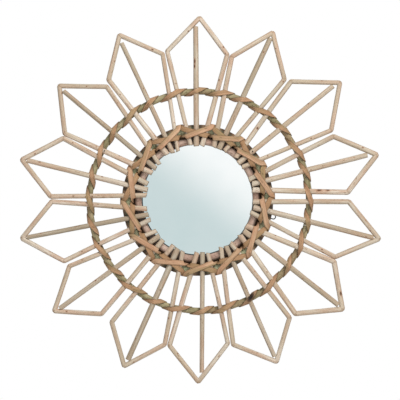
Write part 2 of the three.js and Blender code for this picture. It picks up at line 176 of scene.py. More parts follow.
def joinBump(tree, shader, height, strength, distance):
    values = {"Height": height, "Strength": strength, "Distance": distance}
    bump = addNode(tree, "ShaderNodeBump", values)
    tree.links.new(bump.outputs[0], shader.inputs["Normal"])


peeledWillow = {
    "pale": srgb(231, 219, 202),
    "tan": srgb(208, 191, 167),
    "blush": srgb(208, 171, 147),
    "grey": srgb(180, 172, 151),
    "weathered": srgb(150, 140, 118),
    "fibre": srgb(156, 130, 102),
    "fleck": srgb(132, 96, 66),
    "knot": srgb(84, 54, 34),
    "knotRing": srgb(168, 122, 94),
    "crease": srgb(146, 114, 84),
    "cutEnd": srgb(222, 203, 178),
}


def makeWillow():
    values = peeledWillow
    material, tree, shader = newMaterial("peeledWillow", 0.3)
    place = attributeOf(tree, "straight")
    marks = addNode(tree, "ShaderNodeSeparateXYZ", {0: attributeOf(tree, "marks")}).outputs
    fibre = placeGroup(tree, fibreGroup, {"Place": place, "Across": 780.0, "Along": 20.0})
    fleck = placeGroup(tree, fleckGroup, {"Place": place, "Across": 520.0, "Along": 130.0, "Amount": 0.4})
    slow = patches(tree, place, (70.0, 70.0, 9.0), 2.0, 0.36, 0.64)
    warm = patches(tree, place, (150.0, 150.0, 26.0), 3.0, 0.42, 0.64)
    dull = patches(tree, place, (30.0, 50.0, 3.3), 1.0, 0.44, 0.68)
    rodTone = patches(tree, place, (0.0, 0.0, 0.173), 1.0, 0.36, 0.62)  # differs rod by rod
    colour = mixColour(tree, slow, values["pale"], values["tan"])
    colour = tint(tree, colour, warm, 0.82, values["blush"])
    colour = tint(tree, colour, dull, 0.5, values["grey"])
    colour = tint(tree, colour, rodTone, 0.35, values["tan"])
    tone = attributeOf(tree, "tone", "Fac")
    patchy = ramp(tree, noiseValue(tree, place, (260.0, 260.0, 6.0), 3.0), 0.3, 0.62, 0.35, 1.0)
    colour = tint(tree, colour, tone, patchy, values["weathered"])
    colour = tint(tree, colour, fibre["Streak"], 0.5, values["fibre"])
    colour = tint(tree, colour, fleck["Mask"], 0.7, values["fleck"])
    ringMask = ramp(tree, marks[0], 0.05, 0.45)
    colour = tint(tree, colour, ringMask, 0.6, values["knotRing"])
    rough = noiseValue(tree, place, (900.0, 900.0, 300.0), 2.0)
    knotMask = ramp(tree, maths(tree, "MULTIPLY_ADD", rough, 0.5, marks[0]), 0.68, 1.0)
    colour = tint(tree, colour, knotMask, 0.88, values["knot"])
    # painted shade of a crease at each kink
    creaseNoise = noiseValue(tree, place, (350.0, 350.0, 700.0), 3.0)
    creaseMask = ramp(tree, maths(tree, "MULTIPLY", marks[1], creaseNoise), 0.36, 0.6)
    colour = tint(tree, colour, creaseMask, 0.6, values["crease"])
    colour = mixColour(tree, marks[2], colour, values["cutEnd"])
    joinLooks(tree, shader, colour, ramp(tree, fibre["Height"], 0.3, 1.2, 0.52, 0.76))
    height = maths(tree, "SUBTRACT", fibre["Height"], maths(tree, "MULTIPLY", knotMask, 0.8))
    joinBump(tree, shader, height, 0.4, 0.0005)
    return material


# colour of the painted shade under the trios and along the ring's outer edge, and of the dark patch
paintedShadeAndPatch = srgb(38, 28, 20)
barkFinishes = {
    "greenBark": {
        "main": srgb(188, 194, 152),
        "dark": srgb(114, 112, 82),
        "light": srgb(218, 220, 180),
        "brown": srgb(142, 108, 82),
        "brownShare": 0.25,
        "brownEdge": 0.9,
    },
    "oliveBark": {
        "main": srgb(149, 140, 102),
        "dark": srgb(80, 70, 46),
        "light": srgb(186, 173, 135),
        "brown": srgb(140, 106, 76),
        "brownShare": 0.5,
        "brownEdge": 0.0,
    },
    "brownWillow": {
        "main": srgb(189, 159, 142),
        "dark": srgb(134, 105, 90),
        "light": srgb(210, 185, 168),
        "brown": srgb(158, 122, 103),
        "brownShare": 0.55,
        "brownEdge": 0.0,
    },
}


def makeBark(name):
    values = barkFinishes[name]
    material, tree, shader = newMaterial(name, 0.45)
    place = attributeOf(tree, "straight")
    mottle = placeGroup(tree, mottleGroup, {"Place": place, "Patch": 85.0, "Grit": 800.0})
    fibre = placeGroup(tree, fibreGroup, {"Place": place, "Across": 420.0, "Along": 30.0})
    fleck = placeGroup(tree, fleckGroup, {"Place": place, "Across": 330.0, "Along": 260.0, "Amount": 0.55})
    colour = mixColour(tree, mottle["Patches"], values["main"], values["light"])
    colour = tint(tree, colour, fibre["Streak"], 0.45, values["dark"])
    brownNoise = patches(tree, place, (55.0, 55.0, 14.0), 3.0, 0.46, 0.66)
    colour = tint(tree, colour, brownNoise, values["brownShare"], values["brown"])
    across = addNode(tree, "ShaderNodeSeparateXYZ", {0: place}).outputs[0]
    worn = maths(tree, "MULTIPLY_ADD", maths(tree, "SUBTRACT", mottle["Patches"], 0.5), 0.004, across)
    outerEdge = maths(tree, "MULTIPLY", ramp(tree, worn, 0.0018, 0.0046), values["brownEdge"])
    colour = mixColour(tree, outerEdge, colour, values["brown"])
    colour = tint(tree, colour, fleck["Mask"], 0.7, values["dark"])
    # painted shade under the trios and along the ring's outer edge, and the dark patch, carried by the tone
    # attribute
    colour = mixColour(tree, attributeOf(tree, "tone", "Fac"), colour, paintedShadeAndPatch)
    joinLooks(tree, shader, colour, ramp(tree, mottle["Grain"], 0.3, 0.7, 0.42, 0.66))
    height = maths(tree, "MULTIPLY_ADD", fibre["Height"], 0.9, mottle["Grain"])
    joinBump(tree, shader, height, 0.5, 0.0006)
    return material


barkStrip = {
    "main": srgb(200, 154, 122),
    "light": srgb(216, 178, 145),
    "dark": srgb(132, 98, 68),
    "green": srgb(150, 134, 94),
    "edge": srgb(96, 68, 44),
    "brown": srgb(168, 132, 94),
    "darkPatch": srgb(26, 19, 15),
}


def makeStripBark():
    values = barkStrip
    material, tree, shader = newMaterial("barkStrip", 0.35)
    place = attributeOf(tree, "straight")
    marks = addNode(tree, "ShaderNodeSeparateXYZ", {0: attributeOf(tree, "marks")}).outputs
    fibre = placeGroup(tree, fibreGroup, {"Place": place, "Across": 760.0, "Along": 14.0})
    mottle = placeGroup(tree, mottleGroup, {"Place": place, "Patch": 60.0, "Grit": 700.0})
    fleck = placeGroup(tree, fleckGroup, {"Place": place, "Across": 420.0, "Along": 90.0, "Amount": 0.45})
    colour = mixColour(tree, mottle["Patches"], values["main"], values["light"])
    colour = mixColour(tree, marks[2], colour, values["brown"])
    colour = tint(tree, colour, fibre["Streak"], 0.5, values["dark"])
    greenNoise = patches(tree, place, (60.0, 60.0, 11.0), 3.0, 0.48, 0.66)
    colour = tint(tree, colour, greenNoise, 0.6, values["green"])
    colour = tint(tree, colour, fleck["Mask"], 0.6, values["edge"])
    # darker along both edges: partly the bark's own edge colour, partly painted shade
    edgeWobble = maths(tree, "MULTIPLY", noiseValue(tree, place, (300.0, 300.0, 90.0)), 0.3)
    fromMiddle = maths(tree, "ADD", maths(tree, "ABSOLUTE", marks[1]), edgeWobble)
    edgeMask = ramp(tree, fromMiddle, 0.86, 1.18)
    colour = tint(tree, colour, edgeMask, 0.75, values["edge"])
    colour = mixColour(tree, marks[0], colour, values["darkPatch"])
    joinLooks(tree, shader, colour, ramp(tree, fibre["Height"], 0.3, 1.2, 0.48, 0.72))
    joinBump(tree, shader, fibre["Height"], 0.6, 0.0006)
    return material


mirrorFace = {
    "silver": srgb(250, 252, 252),
    "haze": srgb(246, 250, 250),
    "ringShadowLine": srgb(58, 60, 58),  # painted shadow and reflection of the ring: a dark rim along it
    "lineFrom": 0.0896,
    "lineTo": 0.0906,
    # moves the centre of the painted shadow up, so more of it shows at the bottom
    "lift": 0.0006,
}


def makeMirror():
    values = mirrorFace
    material, tree, shader = newMaterial("silveredGlass")
    place = objectPlace(tree)
    centred = addNode(tree, "ShaderNodeMapping", {"Vector": place, "Location": (0.0, 0.0, -values["lift"])})
    flat = stretched(tree, centred.outputs[0], (1.0, 0.0, 1.0))
    reach = addNode(tree, "ShaderNodeVectorMath", {0: flat}, operation="LENGTH").outputs["Value"]
    haze = patches(tree, place, (14.0, 14.0, 14.0), 2.0, 0.4, 0.7)
    colour = mixColour(tree, haze, values["silver"], values["haze"])
    # painted shadow and reflection of the ring at the glass's edge
    line = ramp(tree, reach, values["lineFrom"], values["lineTo"])
    colour = mixColour(tree, line, colour, values["ringShadowLine"])
    joinLooks(tree, shader, colour, ramp(tree, haze, 0.0, 1.0, 0.02, 0.05))
    shader.inputs["Metallic"].default_value = 1.0
    return material


# hardboard brown, made darker so it also serves as painted shade in the gap between the ring and the hub
# hoop
hardboard = {"main": srgb(112, 84, 60), "dark": srgb(74, 54, 38), "light": srgb(134, 104, 78)}


def makeBoard():
    values = hardboard
    material, tree, shader = newMaterial("hardboard", 0.3)
    place = objectPlace(tree)
    mottle = placeGroup(tree, mottleGroup, {"Place": place, "Patch": 40.0, "Grit": 1500.0})
    weave = ramp(tree, noiseValue(tree, place, (700.0, 700.0, 1900.0), 4.0, 0.7), 0.35, 0.65)
    colour = mixColour(tree, mottle["Patches"], values["main"], values["light"])
    colour = tint(tree, colour, weave, 0.5, values["dark"])
    joinLooks(tree, shader, colour, ramp(tree, mottle["Grain"], 0.3, 0.7, 0.7, 0.9))
    joinBump(tree, shader, weave, 0.3, 0.0004)
    return material


darkSteel = {"main": srgb(46, 43, 40), "dark": srgb(26, 24, 22), "rust": srgb(74, 50, 38)}


def makeSteel():
    values = darkSteel
    material, tree, shader = newMaterial("darkSteel")
    place = objectPlace(tree)
    mottle = placeGroup(tree, mottleGroup, {"Place": place, "Patch": 260.0, "Grit": 1600.0})
    colour = mixColour(tree, mottle["Patches"], values["main"], values["dark"])
    rust = patches(tree, place, (420.0, 420.0, 420.0), 3.0, 0.58, 0.72)
    colour = tint(tree, colour, rust, 0.6, values["rust"])
    joinLooks(tree, shader, colour, ramp(tree, mottle["Grain"], 0.3, 0.7, 0.32, 0.55))
    tree.links.new(ramp(tree, rust, 0.0, 1.0, 0.8, 0.3), shader.inputs["Metallic"])
    joinBump(tree, shader, mottle["Grain"], 0.2, 0.0002)
    return material


willowFinish = makeWillow()
greenFinish = makeBark("greenBark")
oliveFinish = makeBark("oliveBark")
brownFinish = makeBark("brownWillow")
stripFinish = makeStripBark()
mirrorFinish = makeMirror()
boardFinish = makeBoard()
steelFinish = makeSteel()
print("finishes made:", len(bpy.data.materials))


def edgeSpan(edge, axis):
    return abs(edge.verts[0].co[axis] - edge.verts[1].co[axis])


def bevelEdges(bm, edges, offset, segments):
    bmesh.ops.bevel(
        bm, geom=edges, offset=offset, segments=segments, profile=0.5, affect="EDGES", material=-1)


# straight stock that is bent along a path later
def straightRod(length, radius, sides, step, rim):
    bm = bmesh.new()
    bmesh.ops.create_cone(
        bm, cap_ends=True, segments=sides, radius1=radius, radius2=radius, depth=length)
    bmesh.ops.translate(bm, verts=bm.verts, vec=(0.0, 0.0, length / 2))
    bevelEdges(bm, [e for e in bm.edges if edgeSpan(e, 2) < length / 2], rim, 2)
    runs = [e for e in bm.edges if edgeSpan(e, 2) > length / 2]
    bmesh.ops.subdivide_edges(bm, edges=runs, cuts=round(length / step) - 1, use_grid_fill=True)
    return bm


def straightStrip(length, width, thickness, step, lanes):
    bm = bmesh.new()
    bmesh.ops.create_cube(bm, size=1.0)
    bmesh.ops.scale(bm, verts=bm.verts, vec=(width, thickness, length))
    bmesh.ops.translate(bm, verts=bm.verts, vec=(0.0, 0.0, length / 2))
    across = [e for e in bm.edges if edgeSpan(e, 0) > width / 2]
    bmesh.ops.subdivide_edges(bm, edges=across, cuts=lanes - 1, use_grid_fill=True)
    runs = [e for e in bm.edges if edgeSpan(e, 2) > length / 2]
    bmesh.ops.subdivide_edges(bm, edges=runs, cuts=round(length / step) - 1, use_grid_fill=True)
    return bm


patternGap = 10.0  # sets the pattern of each piece apart from the next


def keepStraight(bm, shift, tone=0.0):
    layer = bm.verts.layers.float_vector.new("straight")
    toneLayer = bm.verts.layers.float.new("tone")
    for vert in bm.verts:
        vert[layer] = vert.co + Vector((0.0, 0.0, shift))
        vert[toneLayer] = tone


def makePath(points, facings):
    lengths = [0.0]
    for before, after in zip(points, points[1:]):
        lengths.append(lengths[-1] + (after - before).length)
    last = len(points) - 1
    frames = []
    for i, point in enumerate(points):
        along = (points[min(i + 1, last)] - points[max(i - 1, 0)]).normalized()
        facing = (facings[i] - along * facings[i].dot(along)).normalized()
        frames.append((point, facing.cross(along), facing))
    return {"lengths": lengths, "frames": frames, "length": lengths[-1]}


def bendAlong(bm, path):
    lengths = path["lengths"]
    frames = path["frames"]
    for vert in bm.verts:
        x, y, z = vert.co
        i = min(max(bisect_right(lengths, z) - 1, 0), len(lengths) - 2)
        t = (z - lengths[i]) / (lengths[i + 1] - lengths[i])
        middle = frames[i][0].lerp(frames[i + 1][0], t)
        across = frames[i][1].lerp(frames[i + 1][1], t).normalized()
        facing = frames[i][2].lerp(frames[i + 1][2], t).normalized()
        vert.co = middle + across * x + facing * y


def finishPiece(bm, name, material, nodes=(), sharp=0.7):
    for face in bm.faces:
        face.smooth = True
    for edge in bm.edges:
        if edge.is_manifold and edge.calc_face_angle() > sharp:
            edge.smooth = False
    mesh = bpy.data.meshes.new(name)
    bm.to_mesh(mesh)
    bm.free()
    mesh.materials.append(material)
    piece = bpy.data.objects.new(name, mesh)
    scene.collection.objects.link(piece)
    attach(piece, "root")
    if nodes:
        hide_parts(*nodes)


def fraction(value, low, span):
    return min(max((value - low) / span, 0.0), 1.0)


darkPatch = {"place": (0.0868, -0.1588), "halfLength": 0.0095, "halfWidth": 0.0050, "slant": 57.0}


# dark patch on the outer hoop and its strip, drawn out at a slant to the hoop
def darkPatchShare(x, z):
    turn = math.radians(darkPatch["slant"])
    right = x - darkPatch["place"][0]
    up = z - darkPatch["place"][1]
    along = (right * math.cos(turn) + up * math.sin(turn)) / darkPatch["halfLength"]
    across = (up * math.cos(turn) - right * math.sin(turn)) / darkPatch["halfWidth"]
    return math.exp(-(along * along + across * across) ** 2)


# angles run clockwise from the top, depth is out from the wall
def polar(centre, degrees, reach, depth):
    turn = math.radians(degrees)
    return Vector((centre[0] + reach * math.sin(turn), -depth, centre[1] + reach * math.cos(turn)))


hubHoop = {
    "centre": (0.0, -0.0005),
    "radius": 0.1159,
    "halfWidth": 0.0083,
    "halfThickness": 0.0049,
    "depth": 0.0113,
    "sides": 28,
    "step": 0.0025,
    "joints": (178.0,),
    "bumps": 0.0005,
    "seed": 3,
    # crevice: how dark the painted shade under the trios gets
    "crevice": 0.78,
    "outerShade": 0.0,
}
outerHoop = {
    "centre": (0.0029, -0.0021),
    "radius": 0.1797,
    "halfWidth": 0.0054,
    "halfThickness": 0.0046,
    "depth": 0.0116,
    "sides": 18,
    "step": 0.0025,
    "joints": (-12.857, 102.857, 218.571),  # the strip hides them
    "bumps": 0.0004,
    "seed": 5,
    "crevice": 0.0,
    "outerShade": 0.0,
}
glassRing = {
    "centre": (-0.0005, 0.0),
    "radius": 0.0970,
    "halfWidth": 0.0062,
    "halfThickness": 0.0048,
    "depth": 0.0114,
    "sides": 24,
    "step": 0.0022,
    "joints": (126.0,),
    "bumps": 0.0003,
    "seed": 7,
    "crevice": 0.85,
    # outerShade: painted shade along the outer edge, where the strips shadow the ring
    "outerShade": 1.0,
}
# spread of the painted shade under the trios and along the ring's outer edge
crevices = {"halfWidth": 0.0080, "fade": 0.0045, "behind": 0.05, "shadeFrom": 0.0008, "shadeOver": 0.0042}
arcCuts = {"gap": 0.05, "rim": 0.0003, "turns": 360}  # gap in degrees at each end


# painted shade: the hub hoop and the ring are darkened where a trio of rods crosses them
def underTrio(x, z):
    nearest = 1.0
    for foot, run in trioLines:
        away = Vector((x, z)) - foot
        if away.dot(run) > -crevices["behind"]:
            nearest = min(nearest, abs(away.cross(run)))
    return 1.0 - fraction(nearest, crevices["halfWidth"], crevices["fade"])


def makeArc(values, name, node, material, start, end):
    points = []
    gap = arcCuts["gap"]
    turns = arcCuts["turns"]
    for i in range(turns + 1):
        degrees = start + gap + i * (end - start - 2 * gap) / turns
        points.append(polar(values["centre"], degrees, values["radius"], values["depth"]))
    path = makePath(points, [front] * len(points))
    bm = straightRod(path["length"], values["halfWidth"], values["sides"], values["step"], arcCuts["rim"])
    flatten = values["halfThickness"] / values["halfWidth"]
    bmesh.ops.scale(bm, verts=bm.verts, vec=(1.0, flatten, 1.0))
    shift = values["seed"] * patternGap + math.radians(start) * values["radius"]
    keepStraight(bm, shift)
    for vert in bm.verts:
        x, y, z = vert.co
        away = Vector((x, y, 0.0)).normalized()
        lump = Vector((x * 130, y * 130, (z + shift) * 45))
        ridge = Vector((x * 420, y * 420, (z + shift) * 16))
        lift = noise.noise(lump) * 0.7 + noise.noise(ridge) * 0.5
        vert.co -= away * values["bumps"] * (0.6 - lift)
    bendAlong(bm, path)
    # the tone attribute takes the painted shade under the trios and along the outer edge, and the dark
    # patch
    tone = bm.verts.layers.float["tone"]
    for vert in bm.verts:
        x, y, z = vert.co
        beyond = math.hypot(x - values["centre"][0], z - values["centre"][1]) - values["radius"]
        outerShade = values["outerShade"] * fraction(beyond, crevices["shadeFrom"], crevices["shadeOver"])
        shade = min(math.hypot(underTrio(x, z), outerShade), 1.0)
        raised = (-y - values["depth"]) / values["halfThickness"]
        inFront = fraction(raised, -0.5, 0.5)  # painted shade and the dark patch go on the front half only
        vert[tone] = inFront * max(values["crevice"] * shade, darkPatchShare(x, z))
    finishPiece(bm, name, material, [node])


def makeHoop(values, name, node, material):
    starts = values["joints"]
    ends = starts[1:] + (starts[0] + 360.0,)
    if len(starts) == 1:
        makeArc(values, name, node, material, starts[0], ends[0])
        return
    for i, start in enumerate(starts):
        number = f"{i + 1:02d}"
        makeArc(values, name + number, node + "_" + number, material, start, ends[i])


# each petal is one rod with three kinks, and a straight spoke lies inside it
petalRods = {
    "centre": (0.0032, 0.0011),
    "count": 14,
    "radius": 0.00375,
    "depth": 0.02025,
    "trioReach": 0.088,
    "trioHalfWidth": 0.0092,
    "bow": 0.0001,
    "bowAt": 0.6,
    "shoulderRound": 0.0016,
    "tipRound": 0.0022,
    "sides": 20,
    "step": 0.0011,
    "rim": 0.0004,
    "armSteps": 60,
    "shoulderSteps": 8,
    "tipSteps": 10,
    "seed": 100,
    "wear": 1,
    "crooked": 0.0005,
    "swell": 0.05,
    "endVary": (-0.00132, 0.0022),
    "cutSlope": 0.35,
    "cutReach": 0.006,
    "crease": 0.0038,
    # turns in degrees from even spacing: tip turn and reach, left shoulder turn and reach,
    # right shoulder turn and reach, turn of the trio's inner end, turn of the spoke's outer end
    "bends": [
        (0.0, 0.2965, -12.3, 0.2476, 10.9, 0.2405, -3.4, -1.2),
        (-2.0, 0.2977, -12.9, 0.2389, 9.6, 0.2401, -4.5, -2.0),
        (-1.1, 0.2981, -13.6, 0.2437, 10.9, 0.2429, -4.4, -1.7),
        (-1.2, 0.2985, -12.2, 0.2417, 10.2, 0.2425, -3.2, -1.9),
        (-0.4, 0.3005, -11.9, 0.2441, 10.2, 0.2409, -4.2, -0.3),
        (-1.0, 0.2948, -13.6, 0.2425, 11.5, 0.2441, -3.1, -1.2),
        (0.4, 0.2942, -11.5, 0.2433, 12.7, 0.2441, -3.7, 0.3),
        (0.4, 0.2989, -11.1, 0.2401, 11.6, 0.2441, -3.0, -0.7),
        (-1.4, 0.2997, -12.2, 0.2441, 9.8, 0.2469, -1.8, -1.7),
        (1.0, 0.2997, -10.9, 0.2469, 11.4, 0.2393, -3.8, 0.6),
        (0.4, 0.2973, -11.7, 0.2433, 12.0, 0.2417, -3.6, 0.4),
        (-0.3, 0.2977, -11.8, 0.2437, 11.2, 0.2441, -2.7, -0.1),
        (0.4, 0.2949, -12.6, 0.2449, 11.9, 0.2385, -3.4, 0.0),
        (-0.3, 0.2985, -11.6, 0.2453, 11.5, 0.2449, -4.2, -0.8),
    ],
    # width at the left and the right end, as a share of the even rod
    "girths": [
        (0.95, 1.11), (1.14, 0.97), (1.11, 0.95), (1.06, 1.2), (1.16, 1.0), (1.2, 1.11), (1.06, 1.0),
        (0.95, 1.11), (1.0, 1.06), (1.11, 1.0), (1.0, 1.11), (1.0, 1.16), (1.16, 0.95), (1.2, 0.86),
    ],
    # share along the rod, turn round it from the front, size
    "knots": {
        1: [(0.443, -0.6, 1.0), (0.637, 0.6, 1.2), (0.308, 1.0, 0.8), (0.223, -0.2, 0.8),
            (0.761, -0.5, 1.0)],
        2: [(0.163, -1.0, 0.9), (0.888, -1.0, 0.7), (0.553, -0.4, 0.8), (0.676, 0.2, 0.9)],
        3: [(0.127, -0.1, 1.3), (0.435, 0.6, 0.8), (0.74, -0.1, 1.0), (0.903, -0.3, 0.9)],
        4: [(0.444, 0.4, 1.0), (0.735, -0.7, 2.4), (0.765, -0.6, 3.0)],
        5: [(0.719, -0.2, 1.0), (0.462, -0.8, 1.0), (0.93, 0.2, 0.8)],
        6: [(0.108, 0.9, 1.0), (0.445, 0.4, 2.8), (0.84, -0.3, 0.8)],
        7: [(0.568, -0.5, 0.8), (0.13, 0.5, 0.8), (0.8, 0.3, 0.9)],
        8: [(0.619, -0.8, 1.0), (0.16, -0.4, 0.8), (0.38, 0.3, 0.9)],
        9: [(0.458, 0.4, 0.9), (0.24, -0.5, 1.0), (0.87, 0.2, 0.8)],
        10: [(0.461, -0.2, 1.0), (0.72, 0.5, 0.8)],
        11: [(0.881, -0.9, 1.2), (0.393, -0.8, 0.8), (0.264, -0.3, 0.9)],
        12: [(0.19, 0.3, 0.9), (0.55, -0.4, 1.0), (0.7, 0.2, 0.8)],
        13: [(0.129, -0.9, 0.9), (0.6, 0.0, 0.9), (0.478, -0.8, 1.0), (0.216, -0.2, 0.7)],
        14: [(0.617, 0.0, 1.2), (0.266, 0.0, 0.8), (0.399, -0.5, 0.8), (0.9, 0.4, 0.7)],
    },
}
spokeRods = {
    "buttRadius": 0.0044,
    "tipRadius": 0.0040,
    "depth": 0.0209,
    "tipGap": 0.0003,
    "blunt": (0.0006, 0.0034),
    "bluntSlope": 0.2,
    "sides": 22,
    "step": 0.0012,
    "rim": 0.0005,
    "seed": 300,
    "wear": 41,
    "pattern": 20,
    "crooked": 0.0004,
    "swell": 0.05,
    "endVary": (-0.00108, 0.0018),
    "cutSlope": 0.3,
    "cutReach": 0.006,
    "spare": 0.008,  # length cut away at the tip
    "girths": [1.05, 1.05, 1.0, 1.05, 1.05, 1.05, 0.9, 0.9, 1.1, 1.0, 0.95, 1.02, 0.95, 0.9],
    # how weathered each spoke is
    "tones": [0.4, 0.6, 0.15, 0.25, 0.45, 0.3, 0.4, 0.45, 0.7, 0.4, 0.6, 0.1, 0.7, 0.2],
    "knots": {
        1: [(0.66, 0.6, 2.4), (0.7, 0.5, 3.2)],
        2: [(0.858, 0.1, 1.0)],
        3: [(0.335, 0.9, 1.0), (0.743, 0.8, 1.2)],
        4: [(0.871, 0.4, 0.8), (0.5, -0.3, 0.8)],
        5: [(0.93, -0.4, 1.0), (0.44, 0.5, 0.7)],
        6: [(0.62, -0.4, 0.8)],
        7: [(0.38, 0.6, 0.9)],
        8: [(0.55, -0.5, 0.8)],
        9: [(0.36, 0.3, 0.9), (0.8, -0.5, 0.8)],
        10: [(0.628, -0.6, 1.2)],
        11: [(0.874, -0.8, 1.0)],
        12: [(0.376, -0.9, 1.2), (0.891, -0.6, 1.2)],
        13: [(0.5, 0.2, 0.8)],
        14: [(0.572, -0.3, 0.9)],
    },
}


def flatSpot(degrees, reach):
    return Vector((reach * math.sin(math.radians(degrees)), reach * math.cos(math.radians(degrees))))


def petalCorners(index):
    bends = petalRods["bends"][index]
    tipTurn, tipReach = bends[:2]
    trioTurn, spokeTurn = bends[6:]
    foot = Vector((petalRods["trioReach"] * math.tan(math.radians(trioTurn)), petalRods["trioReach"]))
    tip = flatSpot(tipTurn, tipReach)
    corners = {"tip": tip, "foot": foot}
    for side, word, shoulder in ((-1, "left", bends[2:4]), (1, "right", bends[4:6])):
        outer = flatSpot(*shoulder)
        inner = foot + Vector((side * petalRods["trioHalfWidth"], 0.0))
        middle = inner.lerp(outer, petalRods["bowAt"]) + Vector((side * petalRods["bow"], 0.0))
        corners[word] = (inner, middle, outer)
    run = (flatSpot(spokeTurn, tipReach) - foot).normalized()
    across = Vector((run.y, -run.x))
    corners["cuts"] = []  # the spoke's end is cut along both lengths of rod that meet at the tip
    for word in ("left", "right"):
        arm = (corners[word][2] - tip).normalized()
        square = Vector((arm.y, -arm.x))
        if square.dot(foot - tip) < 0:
            square = -square
        start = square.dot(foot - tip) - petalRods["radius"] - spokeRods["tipGap"]
        corners["cuts"].append((start, square.dot(across), -square.dot(run)))
    corners["run"] = run
    corners["point"] = foot + run * min(start / closing for start, slope, closing in corners["cuts"])
    return corners


def onWall(index, flat):
    turn = math.radians(360.0 * index / petalRods["count"])
    x = flat[0] * math.cos(turn) + flat[1] * math.sin(turn)
    z = flat[1] * math.cos(turn) - flat[0] * math.sin(turn)
    return Vector((petalRods["centre"][0] + x, petalRods["centre"][1] + z))


def bowedLine(first, middle, last, steps):
    share = petalRods["bowAt"]
    pull = (middle - first * (1 - share) ** 2 - last * share ** 2) / (2 * share * (1 - share))
    line = []
    for i in range(steps + 1):
        t = i / steps
        line.append(first * (1 - t) ** 2 + pull * (2 * t * (1 - t)) + last * t ** 2)
    return line


def roundCorner(before, corner, after, reach, steps):
    start = corner + (before - corner).normalized() * reach
    end = corner + (after - corner).normalized() * reach
    shares = [i / steps for i in range(steps + 1)]
    return [start.lerp(corner, t).lerp(corner.lerp(end, t), t) for t in shares]


knotShape = {"halfLength": 0.0017, "halfWidth": 0.0011, "height": 0.0004, "widest": 1.5}
endWithin = 0.00002  # how near an end counts as the cut face


def roughenRod(bm, values, length, seed, knots):
    marks = bm.verts.layers.float_vector.new("marks")
    for vert in bm.verts:
        x, y, z = vert.co
        reach = math.hypot(x, y)
        away = Vector((x, y, 0.0)).normalized() if reach > 1e-6 else Vector((0.0, 0.0, 0.0))
        slow = noise.noise(Vector((seed * 7.3, 1.7, z * 26)))
        lump = noise.noise(Vector((x * 260, y * 260, z * 70 + seed * 3.1)))
        swell = values["swell"] * (slow * 0.7 + lump * 0.5)
        knotted = 0.0
        for share, turn, size in knots:
            along = (z - share * length) / (knotShape["halfLength"] * size)
            if abs(along) < 3.0:
                gap = (math.atan2(x, y) - turn + math.pi) % (2 * math.pi) - math.pi
                around = gap * reach / (knotShape["halfWidth"] * min(size, knotShape["widest"]))
                knotted = max(knotted, math.exp(-along * along - around * around))
        isEnd = 1.0 if z < endWithin or z > length - endWithin else 0.0
        vert[marks] = Vector((knotted, 0.0, isEnd))
        vert.co += away * (reach * swell + knotShape["height"] * knotted)
    return marks


def slantEnds(bm, values, length, picks, bothEnds):
    first = picks.uniform(-1.0, 1.0) * values["cutSlope"]
    last = picks.uniform(-1.0, 1.0) * values["cutSlope"] if bothEnds else 0.0
    reach = values["cutReach"]
    for vert in bm.verts:
        x, y, z = vert.co
        if z < reach:
            vert.co.z += first * x * (1.0 - z / reach)
        elif z > length - reach:
            vert.co.z += last * x * (1.0 - (length - z) / reach)


def crookRod(bm, values, seed):
    for vert in bm.verts:
        z = vert.co.z
        vert.co.x += values["crooked"] * noise.noise(Vector((seed * 5.1, 8.3, z * 14)))
        vert.co.y += values["crooked"] * 0.3 * noise.noise(Vector((seed * 2.7, 3.9, z * 17)))


def petalArm(spots, picks):
    arm = bowedLine(*spots, petalRods["armSteps"])
    arm[0] += (arm[0] - arm[1]).normalized() * picks.uniform(*petalRods["endVary"])
    return arm[:-1]


def makePetal(index):
    values = petalRods
    corners = petalCorners(index)
    left = corners["left"]
    right = corners["right"]
    tip = corners["tip"]
    picks = random.Random(values["seed"] + index)
    there = petalArm(left, picks)
    back = petalArm(right, picks)
    turns = [
        (there[-1], left[2], tip, values["shoulderRound"], values["shoulderSteps"]),
        (left[2], tip, right[2], values["tipRound"], values["tipSteps"]),
        (tip, right[2], back[-1], values["shoulderRound"], values["shoulderSteps"]),
    ]
    flat = there
    kinkSpots = []
    for turn in turns:
        kinkSpots.append(len(flat) + turn[-1] // 2)
        flat += roundCorner(*turn)
    flat += back[::-1]
    points = []
    for spot in flat:
        wall = onWall(index, spot)
        points.append(Vector((wall.x, -values["depth"], wall.y)))
    path = makePath(points, [front] * len(points))
    length = path["length"]
    bm = straightRod(length, values["radius"], values["sides"], values["step"], values["rim"])
    keepStraight(bm, index * patternGap)
    wear = values["wear"] + index
    marks = roughenRod(bm, values, length, wear, values["knots"][index + 1])
    kinks = [path["lengths"][i] for i in kinkSpots]
    for vert in bm.verts:
        nearest = min(abs(vert.co.z - place) for place in kinks)
        vert[marks].y = math.exp(-(nearest / values["crease"]) ** 2)
    firstGirth, lastGirth = values["girths"][index]
    for vert in bm.verts:
        vert.co.x *= firstGirth + (lastGirth - firstGirth) * vert.co.z / length
    slantEnds(bm, values, length, picks, True)
    crookRod(bm, values, wear)
    bendAlong(bm, path)
    number = f"{index + 1:02d}"
    finishPiece(bm, "petalRod" + number, willowFinish, ["petal_" + number], 0.9)


